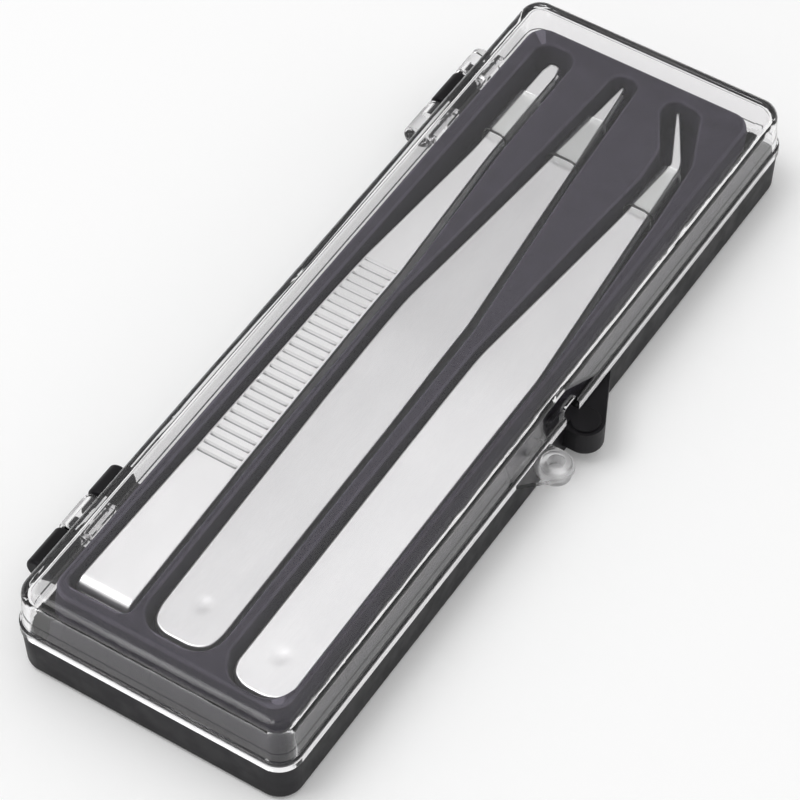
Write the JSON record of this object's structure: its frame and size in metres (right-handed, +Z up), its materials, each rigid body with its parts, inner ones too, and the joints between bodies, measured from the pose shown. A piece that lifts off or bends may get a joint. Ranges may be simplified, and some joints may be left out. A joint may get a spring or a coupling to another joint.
{
  "type": "precision tweezers set",
  "caption": "Set of fine-tipped steel tweezers, blunt, straight and bent, with clear tip guards, held in a shaped tray inside a hinged case with a clear lid.",
  "frame": {"origin": "centre of the case base's flat bottom face", "axes": "+X along the case from the tweezers' butts to their tips, +Y towards the hinges, +Z up through the lid"},
  "size_m": [0.135, 0.0549, 0.016],
  "materials": {
    "black_plastic": "moulded black polystyrene, satin gloss",
    "clear_plastic": "clear moulded polystyrene, polished",
    "flocked_tray": "thin formed sheet with a short flocked grey surface",
    "steel": "stainless steel, satin with bright edges",
    "clear_vinyl": "clear soft vinyl"
  },
  "bodies": {
    "case": {"case_base": "black_plastic", "insert_tray": "flocked_tray", "blunt_bow": "steel", "straight_butt": "steel", "bent_butt": "steel"},
    "lid": {"case_lid": "clear_plastic"},
    "blunt_upper": {"blunt_upper_arm": "steel"},
    "blunt_lower": {"blunt_lower_arm": "steel"},
    "blunt_guard": {"blunt_tip_guard": "clear_vinyl"},
    "straight_upper": {"straight_upper_arm": "steel"},
    "straight_lower": {"straight_lower_arm": "steel"},
    "straight_guard": {"straight_tip_guard": "clear_vinyl"},
    "bent_upper": {"bent_upper_arm": "steel"},
    "bent_lower": {"bent_lower_arm": "steel"},
    "bent_guard": {"bent_tip_guard": "clear_vinyl"}
  },
  "joints": [
    {"name": "lid_hinge", "type": "hinge", "parent": "case", "child": "lid", "pos_m": [0, 0.02525, 0.0072], "axis": [-1, 0, 0], "range_deg": [0, 158]},
    {"name": "blunt_upper_flex", "type": "hinge", "parent": "case", "child": "blunt_upper", "pos_m": [-0.0566, 0.0125, 0.0112], "axis": [0, 1, 0], "range_deg": [0, 0.27], "stiffness_Nm_per_rad": 6, "springref_deg": -0.29},
    {"name": "blunt_lower_flex", "type": "hinge", "parent": "case", "child": "blunt_lower", "pos_m": [-0.0566, 0.0125, 0.0112], "axis": [0, -1, 0], "range_deg": [0, 0.27], "stiffness_Nm_per_rad": 6, "springref_deg": -0.29},
    {"name": "blunt_guard_slide", "type": "slide", "parent": "case", "child": "blunt_guard", "axis": [1, 0, 0], "range_m": [0, 0.008]},
    {"name": "straight_upper_flex", "type": "hinge", "parent": "case", "child": "straight_upper", "pos_m": [-0.0456, 0.00045, 0.0112], "axis": [-0.0105, 0.9999, 0], "range_deg": [0, 0.3], "stiffness_Nm_per_rad": 6, "springref_deg": -0.29},
    {"name": "straight_lower_flex", "type": "hinge", "parent": "case", "child": "straight_lower", "pos_m": [-0.0456, 0.00045, 0.0112], "axis": [0.0105, -0.9999, 0], "range_deg": [0, 0.3], "stiffness_Nm_per_rad": 6, "springref_deg": -0.29},
    {"name": "straight_guard_slide", "type": "slide", "parent": "case", "child": "straight_guard", "axis": [0.9999, 0.0105, 0], "range_m": [0, 0.0025]},
    {"name": "bent_upper_flex", "type": "hinge", "parent": "case", "child": "bent_upper", "pos_m": [-0.047, -0.013, 0.0112], "axis": [0, 1, 0], "range_deg": [0, 0.29], "stiffness_Nm_per_rad": 6, "springref_deg": -0.29},
    {"name": "bent_lower_flex", "type": "hinge", "parent": "case", "child": "bent_lower", "pos_m": [-0.047, -0.013, 0.0112], "axis": [0, -1, 0], "range_deg": [0, 0.29], "stiffness_Nm_per_rad": 6, "springref_deg": -0.29},
    {"name": "bent_guard_slide", "type": "slide", "parent": "case", "child": "bent_guard", "axis": [1, 0, 0], "range_m": [0, 0.0008]}
  ],
  "couplings": [
    {"joint": "blunt_lower_flex", "follows": "blunt_upper_flex", "ratio": 1},
    {"joint": "straight_lower_flex", "follows": "straight_upper_flex", "ratio": 1},
    {"joint": "bent_lower_flex", "follows": "bent_upper_flex", "ratio": 1}
  ]
}
